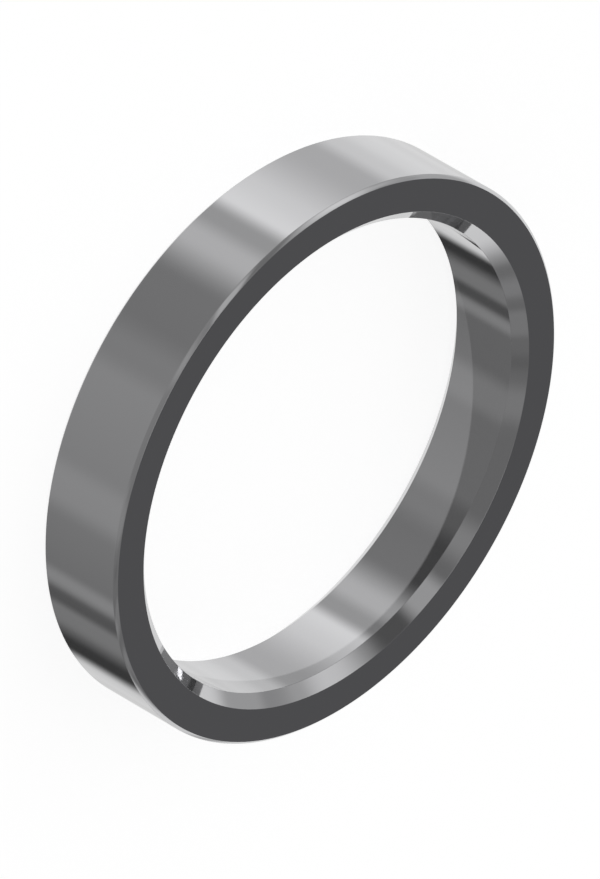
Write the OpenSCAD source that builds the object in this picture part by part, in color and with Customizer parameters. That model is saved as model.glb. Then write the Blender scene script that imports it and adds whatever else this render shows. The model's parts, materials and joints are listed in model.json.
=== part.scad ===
// Hub spacer: one plain ring, turned on a lathe, that slides over a hub or an axle
// and keeps two pieces on it a set distance apart.
// Both mouths of the bore have a wide lead-in chamfer, and both rims a narrow one.
// The ring lies on its lower end face. The origin is the centre of that face,
// and +Z runs along the bore.

/* [Ring] */
// Diameter of the bore that slides over the hub or axle
bore_diameter = 50; // [20:0.5:120]
// Thickness of the wall from the bore out to the rim
wall_thickness = 5; // [2.5:0.25:20]
// Width between the two end faces, which is the distance that the ring keeps
ring_width = 9.85; // [6:0.05:40]

/* [Lead-in chamfers of the bore] */
// How much of each end face the lead-in takes, measured outwards from the bore
lead_in_reach = 1.2; // [0.2:0.05:1.5]
// Angle between the lead-in and the axis of the bore
lead_in_angle = 45; // [30:1:60]

/* [Edge chamfers of the rim] */
// How much of each end face the edge chamfer takes, measured inwards from the rim
edge_reach = 0.35; // [0.05:0.05:0.6]
// Angle between the edge chamfer and the axis of the bore
edge_angle = 45; // [30:1:60]

/* [Hidden] */

$fn = 180;

bore_radius = bore_diameter / 2;
outer_radius = bore_radius + wall_thickness;

// How far each chamfer runs along the axis
lead_in_depth = lead_in_reach / tan(lead_in_angle);
edge_depth = edge_reach / tan(edge_angle);

// The two circles that bound what is left of each flat end face
face_inner_radius = bore_radius + lead_in_reach;
face_outer_radius = outer_radius - edge_reach;

// Bare steel, as the red, green and blue shares of its colour
steel_colour = [0.55, 0.55, 0.56];

// A cut through the wall as [radius, height], from the lower end face round to the bore
wall_section = [
    [face_inner_radius, 0],
    [face_outer_radius, 0],
    [outer_radius, edge_depth],
    [outer_radius, ring_width - edge_depth],
    [face_outer_radius, ring_width],
    [face_inner_radius, ring_width],
    [bore_radius, ring_width - lead_in_depth],
    [bore_radius, lead_in_depth]
];

// The whole ring: the section turned once round the axis
module spacer_ring() {
    color(steel_colour)
        rotate_extrude()
            polygon(wall_section);
}

spacer_ring();
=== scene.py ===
# %% [markdown]
# # A hub spacer, turned from steel
#
# The part is one plain ring. It slides over a hub or an axle and keeps two pieces on it a set
# distance apart. There is nothing to bolt and nothing that moves, so all of the looks are in
# three things: clean circles, crisp chamfers, and the way that bare metal mirrors its
# surroundings. This lesson models the ring by hand, gives it a turned steel finish, and then
# builds the small studio that the metal mirrors.
#
# The first step loads the imported model. It is the fixed frame that everything else fits, in
# metres, with the ring lying on its lower end face and +Z along its axis.

# %% Load the frame
import json
import math
from typing import NamedTuple

import bmesh
import bpy
from mathutils import Matrix, Vector


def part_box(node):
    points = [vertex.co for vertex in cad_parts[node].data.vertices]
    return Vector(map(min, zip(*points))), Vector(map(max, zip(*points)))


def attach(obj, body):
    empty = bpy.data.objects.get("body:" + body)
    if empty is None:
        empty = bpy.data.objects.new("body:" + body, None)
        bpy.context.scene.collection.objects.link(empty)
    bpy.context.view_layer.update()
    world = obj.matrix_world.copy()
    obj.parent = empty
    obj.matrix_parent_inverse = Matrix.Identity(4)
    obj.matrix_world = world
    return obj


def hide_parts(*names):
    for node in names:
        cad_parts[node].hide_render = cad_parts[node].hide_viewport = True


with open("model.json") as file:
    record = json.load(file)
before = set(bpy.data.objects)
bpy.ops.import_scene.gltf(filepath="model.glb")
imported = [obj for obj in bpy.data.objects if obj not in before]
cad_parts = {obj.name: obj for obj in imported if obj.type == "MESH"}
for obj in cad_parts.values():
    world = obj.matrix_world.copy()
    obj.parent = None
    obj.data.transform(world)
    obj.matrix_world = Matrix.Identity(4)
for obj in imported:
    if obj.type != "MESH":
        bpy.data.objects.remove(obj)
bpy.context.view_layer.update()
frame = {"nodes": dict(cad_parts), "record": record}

print("nodes in the frame:", sorted(frame["nodes"]))

# %% [markdown]
# ## The sizes
#
# Nothing is measured twice. The outer size and the width come from the ring's own box in the
# frame, and the bore from the mount that the record states: its radius, and the length of its
# straight wall. What the straight wall leaves over at each end is the lead-in chamfer.

# %% Read the sizes from the frame
RING_NODE = "spacer_ring"
MM = 0.001

low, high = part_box(RING_NODE)
outer_radius = high.x
ring_width = high.z - low.z

mounts = {mount["name"]: mount for mount in frame["record"]["mounts"]}
bore_size = mounts["hub_bore"]["dims"]
bore_radius = bore_size["r_mm"] * MM
lead_in = (ring_width - bore_size["length_mm"] * MM) / 2

print(f"outer radius {outer_radius / MM:.2f} mm, bore radius {bore_radius / MM:.2f} mm")
print(f"width {ring_width / MM:.2f} mm, lead-in {lead_in / MM:.2f} mm")

# %% [markdown]
# Neither the box nor the mount tells of the narrow chamfer round the rim. Typed in here, it would
# be right only until the part's own source changes. So it is read from the frame's mesh, as the
# height at which the outer wall begins.

# %% Read the narrow chamfer from the frame's mesh
# Two places closer together than this are the same place
SAME_PLACE = 0.01 * MM


def distance_from_axis(point):
    """How far a point lies from the ring's own axis, which is the frame's Z axis."""
    return math.hypot(point.x, point.y)


frame_corners = [vertex.co for vertex in frame["nodes"][RING_NODE].data.vertices]
outer_wall_start = min(
    corner.z for corner in frame_corners if distance_from_axis(corner) > outer_radius - SAME_PLACE
)
edge_chamfer = outer_wall_start - low.z

print(f"edge chamfer {edge_chamfer / MM:.2f} mm")

# %% [markdown]
# ## The ring, as a lathe would cut it
#
# On the real part a bar is bored, faced and parted off, and then each corner is chamfered. A
# ring could be made in Blender by spinning its section round the axis, which gives the same
# shape. Here it is made in the order of the lathe, because each step then stands for one cut:
# a solid cylinder, a hole through it, and a bevel on each of its four corners.
#
# The cylinder is a primitive with many sides, so that its outline stays round from close by.
# Everything is deselected first, because loading the frame leaves its nodes selected.

# %% Start from a solid bar
SIDES = 256


def deselect_everything():
    """Leaves nothing selected, so that the next operator acts on its own object alone."""
    bpy.ops.object.select_all(action="DESELECT")


deselect_everything()
bpy.ops.mesh.primitive_cylinder_add(
    vertices=SIDES,
    radius=outer_radius,
    depth=ring_width,
    end_fill_type="NGON",
    location=(0, 0, low.z + ring_width / 2),
)
ring = bpy.context.active_object
ring.name = "turned_ring"
ring.data.name = "turned_ring"
bpy.ops.object.transform_apply(location=True, rotation=True, scale=True)

print("bar:", len(ring.data.vertices), "corners")

# %% [markdown]
# ## Bore the hole
#
# The bore is one straight hole through the bar. A Boolean cut would do, but it leaves long thin
# triangles on the end faces. Inset and bridge keep every face a clean four-sided one.
#
# Both work on the faces that are selected. By hand these would be clicked, and in code they are
# picked by their direction: the two end faces are the only ones whose normal runs along Z.

# %% Pick faces in edit mode
# The least share of a normal's length that lies along Z on an end face
NEARLY_UPRIGHT = 0.99


def pick_faces(piece, is_wanted):
    """Selects, in edit mode, only the faces for which is_wanted(face) is true, and counts them."""
    bpy.ops.mesh.select_mode(type="FACE")
    bpy.ops.mesh.select_all(action="DESELECT")
    mesh = bmesh.from_edit_mesh(piece.data)
    for face in mesh.faces:
        face.select_set(is_wanted(face))
    bmesh.update_edit_mesh(piece.data)
    return sum(face.select for face in mesh.faces)


def is_end_face(face):
    """True for a face that looks straight up or straight down."""
    return abs(face.normal.z) > NEARLY_UPRIGHT


def is_middle_of_end(face):
    """True for the many-sided face that inset leaves in the middle of an end."""
    return is_end_face(face) and len(face.verts) == SIDES


# %% [markdown]
# Inset draws a smaller circle inside each end face, and bridging the two inner faces opens the
# hole and gives it its wall. Inset moves the sides of a polygon and not its corners, so its
# thickness is the wall's times the cosine of half a side's angle. That lands the corners on
# the bore's radius.

# %% Inset and bridge the end faces
wall_thickness = outer_radius - bore_radius
inset_thickness = wall_thickness * math.cos(math.pi / SIDES)

bpy.ops.object.mode_set(mode="EDIT")
end_count = pick_faces(ring, is_end_face)
bpy.ops.mesh.inset(thickness=inset_thickness, depth=0)
middle_count = pick_faces(ring, is_middle_of_end)
bpy.ops.mesh.bridge_edge_loops()

print(f"end faces inset: {end_count}, faces bridged: {middle_count}")

# %% [markdown]
# ## Cut the chamfers
#
# The wide chamfer at each mouth of the bore leads the ring onto its hub, and the narrow one
# round each rim keeps the edge from cutting a hand. Each follows a circle of edges that is
# already there, so a bevel can cut it.
#
# The edges are picked by place: an edge belongs to a circle if both of its ends lie at that
# radius and at that height.

# %% Pick circles of edges in edit mode
def is_on_circle(vertex, radius, heights):
    """True for a corner at that distance from the axis and at one of those heights."""
    at_radius = abs(distance_from_axis(vertex.co) - radius) < SAME_PLACE
    at_height = any(abs(vertex.co.z - height) < SAME_PLACE for height in heights)
    return at_radius and at_height


def pick_circles(piece, radius, heights):
    """Selects, in edit mode, only the edges of the circles at that radius, and counts them."""
    bpy.ops.mesh.select_mode(type="EDGE")
    bpy.ops.mesh.select_all(action="DESELECT")
    mesh = bmesh.from_edit_mesh(piece.data)
    for edge in mesh.edges:
        first, second = edge.verts
        level = abs(first.co.z - second.co.z) < SAME_PLACE
        on_circle = is_on_circle(first, radius, heights) and is_on_circle(second, radius, heights)
        edge.select_set(level and on_circle)
    bmesh.update_edit_mesh(piece.data)
    return sum(edge.select for edge in mesh.edges)


def bevel_circles(piece, radius, heights, offset, segments):
    """Bevels the circles at that radius and those heights."""
    count = pick_circles(piece, radius, heights)
    bpy.ops.mesh.bevel(offset=offset, offset_type="OFFSET", segments=segments, affect="EDGES")
    print(f"{count} edges bevelled by {offset / MM:.2f} mm at radius {radius / MM:.2f} mm")


# %% [markdown]
# A bevel with one segment is a chamfer. Its offset is the distance that it takes off each of the
# two faces that meet at the edge, so one number gives a 45 degree cut, and no profile has to be
# drawn.

# %% Bevel the mouths of the bore and the rims
end_heights = (low.z, high.z)

bevel_circles(ring, bore_radius, end_heights, offset=lead_in, segments=1)
bevel_circles(ring, outer_radius, end_heights, offset=edge_chamfer, segments=1)

# %% [markdown]
# ## Take the burr off
#
# No turned edge is perfectly sharp. After the last cut a touch of abrasive rounds each corner
# by a couple of hundredths of a millimetre, and that thin round is what catches the light along
# an edge. It is a second, much finer bevel on all eight circles, with a few segments. A Bevel
# modifier could do it too, but here the circles are known exactly, so they are named one by one.
#
# At the end every face is made to look outwards.

# %% Round the eight corners
BURR_ROUND = 0.02 * MM
BURR_SEGMENTS = 3

corner_circles = (
    (bore_radius, (low.z + lead_in, high.z - lead_in)),
    (bore_radius + lead_in, end_heights),
    (outer_radius - edge_chamfer, end_heights),
    (outer_radius, (low.z + edge_chamfer, high.z - edge_chamfer)),
)

for radius, heights in corner_circles:
    bevel_circles(ring, radius, heights, offset=BURR_ROUND, segments=BURR_SEGMENTS)

bpy.ops.mesh.select_all(action="SELECT")
bpy.ops.mesh.normals_make_consistent(inside=False)
bpy.ops.object.mode_set(mode="OBJECT")

print("ring:", len(ring.data.vertices), "corners,", len(ring.data.polygons), "faces")

# %% [markdown]
# ## Shade it smooth, but keep the flats flat
#
# Smooth shading averages the direction of the faces round each corner. Next to a thin round
# that would bend the light on the wide flat faces. Marking the edges sharp would keep the
# flats, but it would also put a hard line where the round should turn. The Weighted Normal
# modifier lets the larger face decide, so the walls stay straight and the ends flat, and only
# the thin rounds turn the light from one to the next.

# %% Smooth and weight the normals
# 50 is neutral, and from there up to 100 the large faces have ever more say
LARGE_FACES_DECIDE = 100

deselect_everything()
ring.select_set(True)
bpy.context.view_layer.objects.active = ring
bpy.ops.object.shade_smooth()
bpy.ops.object.modifier_add(type="WEIGHTED_NORMAL")
weighting = ring.modifiers[-1]
weighting.mode = "FACE_AREA"
weighting.weight = LARGE_FACES_DECIDE
weighting.keep_sharp = True
bpy.ops.object.modifier_apply(modifier=weighting.name)

print("smooth faces:", sum(face.use_smooth for face in ring.data.polygons))

# %% [markdown]
# ## Nodes without the clicking
#
# The materials and the studio are node trees. A small helper adds one node, sets its options,
# and plugs in its inputs: an input given as a number is typed into the socket, and one given
# as another node's output is linked to it. The options come first, because a Mix node shows its
# sockets for numbers or those for colours, as its data type says. The three short helpers after
# it stand for the nodes that are used most.

# %% Helpers for nodes
def add_node(tree, kind, inputs=(), **options):
    """Adds a node of that kind. inputs maps a socket's name or number to a value or an output."""
    node = tree.nodes.new(kind)
    for name, value in options.items():
        setattr(node, name, value)
    for name, value in dict(inputs).items():
        if isinstance(value, bpy.types.NodeSocket):
            tree.links.new(value, node.inputs[name])
        else:
            node.inputs[name].default_value = value
    return node


def math_node(tree, operation, *values):
    """The output of a Math node that works on up to three numbers or outputs."""
    return add_node(tree, "ShaderNodeMath", enumerate(values), operation=operation).outputs[0]


def mix_node(tree, share, without, with_all, data_type="FLOAT"):
    """An output that goes from one number or colour to another as share goes from 0 to 1."""
    inputs = {"Factor": share, "A": without, "B": with_all}
    return add_node(tree, "ShaderNodeMix", inputs, data_type=data_type).outputs["Result"]


def smooth_step(tree, value, start, end, low_value=0.0, high_value=1.0):
    """An output that goes smoothly from low_value to high_value as value goes from start to end."""
    inputs = {
        "Value": value,
        "From Min": start,
        "From Max": end,
        "To Min": low_value,
        "To Max": high_value,
    }
    node = add_node(tree, "ShaderNodeMapRange", inputs, interpolation_type="SMOOTHSTEP")
    return node.outputs["Result"]


# %% [markdown]
# ## The turned steel
#
# A lathe tool leaves very fine grooves that run round the part. They are far too fine to model,
# and a picture of them would need the surface unwrapped. So they are made in the material, from
# the place on the ring: how far out and how high a point lies decides which groove it is in,
# and the way round the ring hardly matters. A noise texture is therefore squeezed hard in those
# two directions and left long in the third.
#
# The height counts double, so that the grooves of a chamfer, where a point gets higher as it
# gets nearer to the axis, don't cancel out.

# %% Grooves that run round the axis
GROOVES_PER_METRE = 5200
SWEEP_PER_METRE = 60
HEIGHT_SHARE = 2.0
GROOVE_DETAIL = 2.0


def turning_marks(tree):
    """An output between 0 and 1 that changes from groove to groove, and little round the ring."""
    place = add_node(tree, "ShaderNodeTexCoord").outputs["Object"]
    axes = add_node(tree, "ShaderNodeSeparateXYZ", {"Vector": place}).outputs
    x_squared = math_node(tree, "MULTIPLY", axes["X"], axes["X"])
    across_squared = math_node(tree, "MULTIPLY_ADD", axes["Y"], axes["Y"], x_squared)
    distance_out = math_node(tree, "SQRT", across_squared)
    groove = math_node(tree, "MULTIPLY_ADD", axes["Z"], HEIGHT_SHARE, distance_out)
    stretched = {
        "X": math_node(tree, "MULTIPLY", axes["X"], SWEEP_PER_METRE),
        "Y": math_node(tree, "MULTIPLY", axes["Y"], SWEEP_PER_METRE),
        "Z": math_node(tree, "MULTIPLY", groove, GROOVES_PER_METRE),
    }
    groove_place = add_node(tree, "ShaderNodeCombineXYZ", stretched).outputs["Vector"]
    inputs = {"Vector": groove_place, "Scale": 1.0, "Detail": GROOVE_DETAIL}
    return add_node(tree, "ShaderNodeTexNoise", inputs).outputs["Fac"]


print(f"a groove every {1 / GROOVES_PER_METRE / MM:.2f} mm or so")

# %% [markdown]
# The steel itself is a mid grey metal. It isn't wholly metallic: a fifth of it answers to light
# as a matt surface does, which stands for the fine film that handling leaves on bare steel, and
# which lets the shadow of the ring's own edge show inside the bore.
#
# Its roughness is low, because the finish mirrors sharply, and it changes a little from groove
# to groove. The grooves are also a very shallow bump. Both stay faint: from a step away the
# surface is clean, and only a highlight shows the direction in which it was turned.

# %% Make the steel
STEEL_GREY = (0.55, 0.55, 0.56, 1.0)
STEEL_SHINE = 0.8
SMOOTHEST_GROOVE = 0.02
ROUGHEST_GROOVE = 0.05
# The noise seldom goes beyond these two values
NOISE_LOW = 0.3
NOISE_HIGH = 0.7
GROOVE_DEPTH = 0.002 * MM
GROOVE_STRENGTH = 0.05


def turned_steel():
    """Bare steel with fine grooves round the axis."""
    material = bpy.data.materials.new("fine_turned_steel")
    material.use_nodes = True
    tree = material.node_tree
    shader = tree.nodes["Principled BSDF"]
    shader.inputs["Metallic"].default_value = STEEL_SHINE
    shader.inputs["Base Color"].default_value = STEEL_GREY

    marks = turning_marks(tree)
    roughness = smooth_step(tree, marks, NOISE_LOW, NOISE_HIGH, SMOOTHEST_GROOVE, ROUGHEST_GROOVE)
    tree.links.new(roughness, shader.inputs["Roughness"])

    bump = {"Height": marks, "Strength": GROOVE_STRENGTH, "Distance": GROOVE_DEPTH}
    normal = add_node(tree, "ShaderNodeBump", bump).outputs["Normal"]
    tree.links.new(normal, shader.inputs["Normal"])
    return material


ring.data.materials.clear()
ring.data.materials.append(turned_steel())

finish = ring.data.materials[0]
print("finish:", finish.name, "with", len(finish.node_tree.nodes), "nodes")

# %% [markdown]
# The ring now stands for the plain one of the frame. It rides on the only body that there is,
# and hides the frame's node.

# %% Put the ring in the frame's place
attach(ring, "root")
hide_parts(RING_NODE)

print(ring.name, "stands for", RING_NODE)

# %% [markdown]
# ## The camera
#
# The picture is an isometric view, in which all three axes lean away from the eye by the same
# angle. The camera then looks down at the end face by about 35 degrees. Here the ring lies on a
# table, while in the picture its axis runs level to one side, so the camera is also rolled by
# 120 degrees, which is how far apart the three axes of an isometric view stand.
#
# An isometric view has no perspective. An orthographic camera would give exactly that, but its
# scale wouldn't follow when the camera is moved for other views. A very long lens from far away
# does nearly the same and can be moved.
#
# The values in pixels say how large the picture is, and how wide the ring is in it and where its
# middle lies. The lens and the aim of the camera follow from them.

# %% Set up the camera
PICTURE_WIDTH = 600
PICTURE_HEIGHT = 879
RING_PIXELS = 624.1
CENTRE_ACROSS = 301.2
CENTRE_DOWN = 440.2
CAMERA_DISTANCE = 2.7
NEAREST_SEEN = 0.1
FARTHEST_SEEN = 100
ISOMETRIC_HEIGHT = math.asin(1 / math.sqrt(3))
CAMERA_ROLL = math.radians(120)

tilt = Matrix.Rotation(math.pi / 2 - ISOMETRIC_HEIGHT, 3, "X")
turn = tilt @ Matrix.Rotation(CAMERA_ROLL, 3, "Z")
right, up, back = turn.col

metres_per_pixel = 2 * outer_radius / RING_PIXELS
shift_right = (PICTURE_WIDTH / 2 - CENTRE_ACROSS) * metres_per_pixel
shift_up = (CENTRE_DOWN - PICTURE_HEIGHT / 2) * metres_per_pixel
ring_centre = Vector((0, 0, low.z + ring_width / 2))
aim = ring_centre + right * shift_right + up * shift_up

camera_data = bpy.data.cameras.new("camera")
camera = bpy.data.objects.new("camera", camera_data)
bpy.context.scene.collection.objects.link(camera)
camera_data.lens = camera_data.sensor_width * CAMERA_DISTANCE / (PICTURE_HEIGHT * metres_per_pixel)
camera_data.clip_start = NEAREST_SEEN
camera_data.clip_end = FARTHEST_SEEN
camera.matrix_world = Matrix.Translation(aim + back * CAMERA_DISTANCE) @ turn.to_4x4()
bpy.context.scene.camera = camera

print(f"lens {camera_data.lens:.0f} mm, {CAMERA_DISTANCE} m away")

# %% [markdown]
# ## The table
#
# The ring lies on a plain white table, on a white ground with no horizon. Seen by the camera the
# table is close to pure white, with a faint soft shadow round the ring. More light would also
# make it white, but it would wash out the metal. Instead the table glows a little, to the camera
# only: most of its white is glow, and the rest is light that falls on it, in which the shadow
# shows.
#
# Mirrored in the metal there is only the studio, so the table is hidden from glossy rays. It
# casts no shadow either, because the lamp shines from a little below its level. Seen from below
# it is clear, so that the lower end face can be looked at too. It lies a hair under the ring,
# because two faces in one plane would flicker.

# %% Lay the table
TABLE_SIZE = 6.0
TABLE_WHITE = (0.8, 0.8, 0.8, 1.0)
TABLE_GLOW = 0.8
TABLE_GAP = 0.02 * MM
WHITE = (1.0, 1.0, 1.0, 1.0)


def seen_by_camera(tree, rays):
    """1 for what the camera sees, straight or through something clear, and 0 for other rays."""
    return math_node(tree, "MAXIMUM", rays["Is Camera Ray"], rays["Is Transmission Ray"])


def white_table():
    """A matt white that glows to the camera, and that is clear from below."""
    material = bpy.data.materials.new("white_table")
    material.use_nodes = True
    tree = material.node_tree
    tree.nodes.remove(tree.nodes["Principled BSDF"])
    rays = add_node(tree, "ShaderNodeLightPath").outputs
    glow = math_node(tree, "MULTIPLY", seen_by_camera(tree, rays), TABLE_GLOW)
    matt = add_node(tree, "ShaderNodeBsdfDiffuse", {"Color": TABLE_WHITE}).outputs[0]
    light = add_node(tree, "ShaderNodeEmission", {"Color": WHITE, "Strength": glow}).outputs[0]
    clear = add_node(tree, "ShaderNodeBsdfTransparent", {"Color": WHITE}).outputs[0]
    from_below = add_node(tree, "ShaderNodeNewGeometry").outputs["Backfacing"]
    # The shader sockets of these two nodes share one name, so they are given by number
    top = add_node(tree, "ShaderNodeAddShader", {0: matt, 1: light}).outputs[0]
    both = add_node(tree, "ShaderNodeMixShader", {0: from_below, 1: top, 2: clear}).outputs[0]
    tree.links.new(both, tree.nodes["Material Output"].inputs["Surface"])
    # The glow is only there to be seen, so the table isn't sampled as a lamp
    material.cycles.emission_sampling = "NONE"
    return material


deselect_everything()
bpy.ops.mesh.primitive_plane_add(size=TABLE_SIZE, location=(0, 0, low.z - TABLE_GAP))
table = bpy.context.active_object
table.name = "table"
table.data.materials.append(white_table())
table.visible_glossy = False
table.visible_shadow = False

print(f"table {TABLE_SIZE:.0f} m square, {TABLE_GAP / MM:.2f} mm under the ring")

# %% [markdown]
# ## What the metal sees
#
# Bare metal has no colour of its own to show: it shows what stands round it. Before a card is
# hung in a studio for metal, it pays to work out which way each surface looks. A mirror sends
# the line of sight off at the same angle on the other side of its normal, so one line of vector
# arithmetic gives the direction that the camera sees in it.
#
# A direction is given as a bearing, where 0 is +Y and 90 is +X, and a height above the table.
# The printed values show why a ring is kind to light: its end face mirrors one single spot, and
# its walls mirror one thin belt, 35 degrees below the table's level. Only the chamfers look
# elsewhere.

# %% Work out what each surface mirrors
def as_direction(bearing, height):
    """The unit vector of a bearing and a height, in degrees."""
    turned = math.radians(bearing)
    raised = math.radians(height)
    level = math.cos(raised)
    return Vector((math.sin(turned) * level, math.cos(turned) * level, math.sin(raised)))


def mirrored(normal):
    """The bearing and height, in degrees, of what the camera sees in a mirror with that normal."""
    sight = 2 * back.dot(normal) * normal - back
    bearing = math.degrees(math.atan2(sight.x, sight.y)) % 360
    return round(bearing), round(math.degrees(math.asin(sight.z)))


print("upper end face mirrors bearing and height", mirrored(as_direction(0, 90)))
for place in (120, 180, 240):
    print(f"outer wall at bearing {place} mirrors", mirrored(as_direction(place, 0)))
# A lead-in faces the opposite side of the bore and is tilted halfway up
for place in (-45, 0, 45):
    print(f"upper lead-in at bearing {place} mirrors", mirrored(as_direction(place + 180, 45)))

# %% [markdown]
# ## The cards
#
# A photographer hangs white cards and black flags round shiny metal. Area lamps could stand for
# them, but each would also throw light and shadows of its own, and a card that is only shade
# can't be a lamp at all. Here they are painted on the sky instead, as soft-edged rectangles on a
# grey tent.
#
# Each card is given by the middle of it, half of its width and half of its height, how bright it
# shows, and how soft its edge is. All but the brightness are degrees. A later card covers an
# earlier one, so a flag can be hung in front of a panel.
#
# The first set stands round the ring at the height that the walls mirror. From the far side it
# goes round by the right, the near side and the left: from white to dark stripes, then to even
# greys and one black flag, and through a bright window back to white.

# %% Cards for the walls
class Card(NamedTuple):
    """A soft-edged rectangle of light or shade on the studio's sky."""

    bearing: float
    height: float
    half_width: float
    half_height: float
    brightness: float
    softness: float


wall_cards = {
    "white_wall": Card(345, -36, 55, 44, 0.88, 6),
    "wall_glow": Card(320, -36, 8.5, 44, 0.98, 5),
    "wall_foot": Card(0, -60, 50, 18, 0.9, 5),
    "wall_shade": Card(0, -35, 17, 7, 0.74, 5),
    "right_panel": Card(62, -24, 7.5, 52, 0.29, 4),
    "right_flag": Card(41.5, -36, 8, 41, 0.035, 6),
    "right_gap": Card(70, -36, 4, 36, 0.10, 3),
    "right_strip": Card(79, -18, 3.5, 56, 0.37, 3),
    "right_glow": Card(120.5, -15.5, 10, 60.5, 0.33, 5),
    "near_fill": Card(149, -36, 21, 41, 0.24, 6),
    "near_shade": Card(179, -36, 9, 41, 0.15, 5),
    "left_fill": Card(277, -48, 20.5, 28, 0.56, 5.5),
    "left_window": Card(245.5, -48, 20.5, 28, 1.14, 20),
    "near_flag": Card(204.5, -36, 20.5, 41, 0.06, 6),
    "near_strip": Card(228.5, -36, 11, 41, 0.6, 9),
    "strip_gap": Card(238, -36, 5.5, 41, 0.34, 4),
}

print("cards for the walls:", len(wall_cards))

# %% [markdown]
# The end face mirrors a dark ceiling and nothing else, which is why it is so even and so much
# darker than the walls. Straight overhead hangs a large light one, for a view from the top. It
# reaches a little more than half a circle to each side, so that its soft ends never show.
#
# The lead-ins and the rims mirror a long curve that rises from the table's level to high above
# the near side. The cards along it give each chamfer its own change of tone, and that is what
# sets it off from the wall beside it. A small shade in front of the white shelf keeps the rim at
# the bottom of the picture from burning out.

# %% Cards for the end face and the chamfers
face_cards = {
    "overhead": Card(0, 90, 190, 18, 0.8, 6),
    "dark_ceiling": Card(0, 38, 40, 20, 0.10, 6),
}
chamfer_cards = {
    "white_shelf": Card(0, -2, 60, 14, 1.1, 6),
    "shelf_shade": Card(26.5, -7.5, 5, 5, 0.62, 4),
    "low_gap": Card(58.5, 17, 2.5, 3, 0.24, 2),
    "low_glow": Card(65.5, 22, 3, 4, 0.34, 2),
    "strip_top": Card(79.5, 32, 4.5, 5, 0.31, 2.5),
    "loft_gap": Card(95, 37, 3, 4, 0.17, 3),
    "loft_glow": Card(112, 44, 7, 7, 0.33, 5),
    "side_panel": Card(305, 16, 13, 10, 0.59, 5),
    "side_step": Card(292, 23, 8, 6, 0.44, 3),
    "high_window": Card(270, 34, 14.5, 12, 1.05, 12.5),
    "high_flag": Card(239, 47, 9, 9, 0.10, 5),
    "high_strip": Card(218, 52, 10, 9, 0.58, 5),
    "high_glow": Card(183.5, 55, 9.5, 9, 0.38, 8),
}

print("cards for the face and the chamfers:", len(face_cards) + len(chamfer_cards))

# %% [markdown]
# One more thing shows in the metal: the lamp. At the lower left of the picture the lead-in looks
# across the bore, and from there down past the lower mouth to where the lamp hangs. Its face is
# a small and very bright card, and after three mirrors it is still a white spark.
#
# Met by a single mirror, such a bright card would burn a white gap into the thin rim when the
# ring is seen from above. So it is hung apart from the others, and only rays that have been
# mirrored twice or more are shown it.

# %% The lamp's face, as the metal sees it
lamp_face = Card(198.5, -6.9, 6.5, 1.1, 8.0, 0.4)

print(f"lamp's face: {lamp_face.brightness:.0f} times as bright as white")

# %% [markdown]
# ## The studio
#
# A sky that is painted by a shader has no places, only directions, and each of them is a bearing
# and a height. A card is where two bands cross, one round its bearing and one round its height.
# Where both are 1 the card covers what was painted before it, and at its soft edge it lets some
# of that through.

# %% Paint one card
def soft_band(tree, value, middle, half, softness):
    """1 within half of middle, 0 beyond it, with a soft edge. All are in radians."""
    away = math_node(tree, "ABSOLUTE", math_node(tree, "SUBTRACT", value, middle))
    return smooth_step(tree, away, half - softness, half + softness, 1.0, 0.0)


def paint_card(tree, brightness, bearing, height, card, shown=1.0):
    """The studio's brightness with one more card on it, which is there where shown is 1."""
    softness = math.radians(card.softness)
    turned_away = math_node(tree, "SUBTRACT", bearing, math.radians(card.bearing))
    beside = math_node(tree, "WRAP", turned_away, math.pi, -math.pi)
    across = soft_band(tree, beside, 0.0, math.radians(card.half_width), softness)
    middle = math.radians(card.height)
    upright = soft_band(tree, height, middle, math.radians(card.half_height), softness)
    inside = math_node(tree, "MULTIPLY", math_node(tree, "MULTIPLY", across, upright), shown)
    return mix_node(tree, inside, brightness, card.brightness)


# %% [markdown]
# All the cards are painted over a tent of one grey: first those for the end face, then those for
# the walls, and then those for the chamfers. The lamp's face comes last, and it is there only for
# rays that have met a second mirror.

# %% Paint all the cards
TENT_GREY = 0.215
# The count of mirrors is a whole number, so more than this is two or more
MORE_THAN_ONE = 1.5

cards = (*face_cards.values(), *wall_cards.values(), *chamfer_cards.values())


def painted_tent(tree, axes, rays):
    """How bright each direction looks to the metal: the tent's grey with every card over it."""
    bearing = math_node(tree, "ARCTAN2", axes["X"], axes["Y"])
    height = math_node(tree, "ARCSINE", axes["Z"])
    brightness = TENT_GREY
    for card in cards:
        brightness = paint_card(tree, brightness, bearing, height, card)
    mirrored_twice = math_node(tree, "GREATER_THAN", rays["Glossy Depth"], MORE_THAN_ONE)
    return paint_card(tree, brightness, bearing, height, lamp_face, mirrored_twice)


print(f"tent: {TENT_GREY} of white, with {len(cards)} cards and the lamp's face")

# %% [markdown]
# The ceiling over the far side is a touch cooler than the rest, as daylight is, and gives the end
# face its slight tint. The steel's own colour could be made cooler instead, but then the walls
# would take the tint too.

# %% Tint the ceiling
CEILING_TINT = (0.985, 0.985, 1.03, 1.0)
# How far up and how far towards +Y a direction has to point for the tint to start and to be
# full, as shares of its length
TINT_START = 0.3
TINT_FULL = 0.5


def ceiling_colour(tree, axes, rays):
    """White, with a cool tint where the metal sees the ceiling over the far side."""
    raised = smooth_step(tree, axes["Z"], TINT_START, TINT_FULL)
    far = smooth_step(tree, axes["Y"], TINT_START, TINT_FULL)
    ceiling = math_node(tree, "MULTIPLY", raised, far)
    tinted = math_node(tree, "MULTIPLY", ceiling, rays["Is Glossy Ray"])
    return mix_node(tree, tinted, WHITE, CEILING_TINT, data_type="RGBA")


print("ceiling's tint:", CEILING_TINT[:3])

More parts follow.
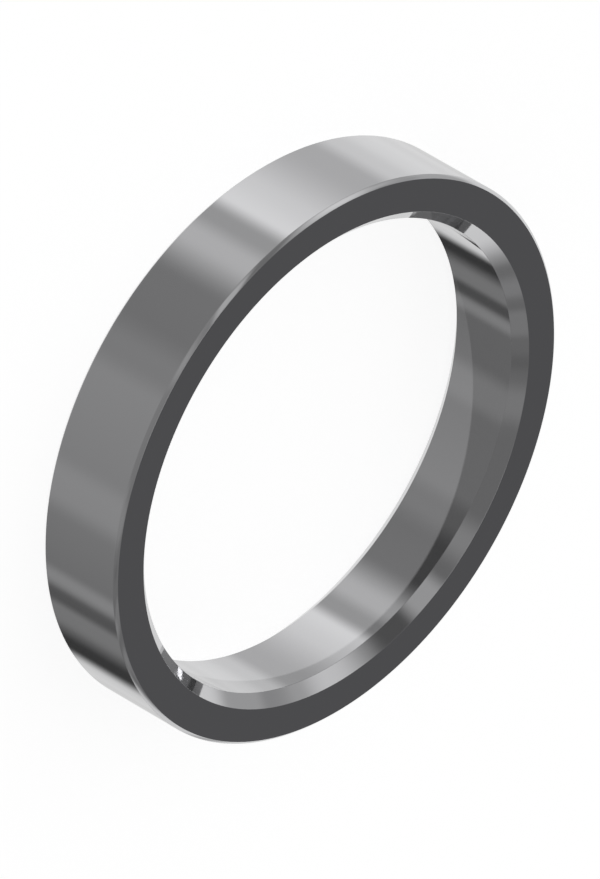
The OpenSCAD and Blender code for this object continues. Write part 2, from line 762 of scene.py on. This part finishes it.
# %% [markdown]
# The world answers to each kind of ray in its own way, which the Light Path node tells apart.
# The camera sees a white ground, and glossy rays see the tent with its cards. All other rays get
# one low, even light, so that the matt share of the steel isn't flooded by cards that are there
# only to be mirrored.

# %% Build the studio
MATT_LIGHT = 0.25
GROUND_WHITE = 1.0


def studio():
    """The world: white to the camera, cards to the metal, and low even light to matt things."""
    world = bpy.data.worlds.new("studio")
    world.use_nodes = True
    tree = world.node_tree
    tree.nodes.clear()
    direction = add_node(tree, "ShaderNodeTexCoord").outputs["Generated"]
    axes = add_node(tree, "ShaderNodeSeparateXYZ", {"Vector": direction}).outputs
    rays = add_node(tree, "ShaderNodeLightPath").outputs

    plain = mix_node(tree, seen_by_camera(tree, rays), MATT_LIGHT, GROUND_WHITE)
    strength = mix_node(tree, rays["Is Glossy Ray"], plain, painted_tent(tree, axes, rays))
    light = {"Color": ceiling_colour(tree, axes, rays), "Strength": strength}
    background = add_node(tree, "ShaderNodeBackground", light).outputs["Background"]
    add_node(tree, "ShaderNodeOutputWorld", {"Surface": background})
    # What the metal mirrors is found by its own rays, and the light for matt things is even, so
    # the world isn't sampled as a lamp
    world.cycles.sampling_method = "NONE"
    return world


bpy.context.scene.world = studio()

print("studio:", len(bpy.context.scene.world.node_tree.nodes), "nodes")

# %% [markdown]
# ## The lamp
#
# One lamp gives the metal its only cast shadow, which lies in the bore. Its light comes in
# through the lower mouth and climbs the far wall as far as an arched edge, above which the near
# wall keeps it off. The arch is highest opposite the lamp, which gives the lamp's bearing, and
# how high it reaches gives the lamp's height. A sun lamp is used, because the edge of the arch is
# crisp, and so the lamp must be small or far away.
#
# The metal mirrors the card for the lamp's face, so the lamp itself is hidden from glossy rays.
# Otherwise its tiny hot image would turn into bright specks.

# %% Hang the lamp
LAMP_BEARING = 208
LAMP_HEIGHT = -8.5
LAMP_STRENGTH = 3.4
LAMP_SPREAD = 0.35

lamp_data = bpy.data.lights.new("lamp", "SUN")
lamp = bpy.data.objects.new("lamp", lamp_data)
bpy.context.scene.collection.objects.link(lamp)
lamp_data.energy = LAMP_STRENGTH
lamp_data.angle = math.radians(LAMP_SPREAD)
lamp_turn = as_direction(LAMP_BEARING, LAMP_HEIGHT).to_track_quat("Z", "Y")
lamp.matrix_world = lamp_turn.to_matrix().to_4x4()
lamp.visible_glossy = False

arch_height = 2 * bore_radius * math.tan(-math.radians(LAMP_HEIGHT))
print(f"the bore's far wall is lit to about {arch_height / MM:.1f} mm above the lower mouth")

# %% [markdown]
# ## Finish
#
# The Standard view keeps each grey as it is written, with no film curve over it. The ring that
# was modelled here has to be exactly as large as the one that it stands for.

# %% Finish
bpy.context.scene.view_settings.view_transform = "Standard"
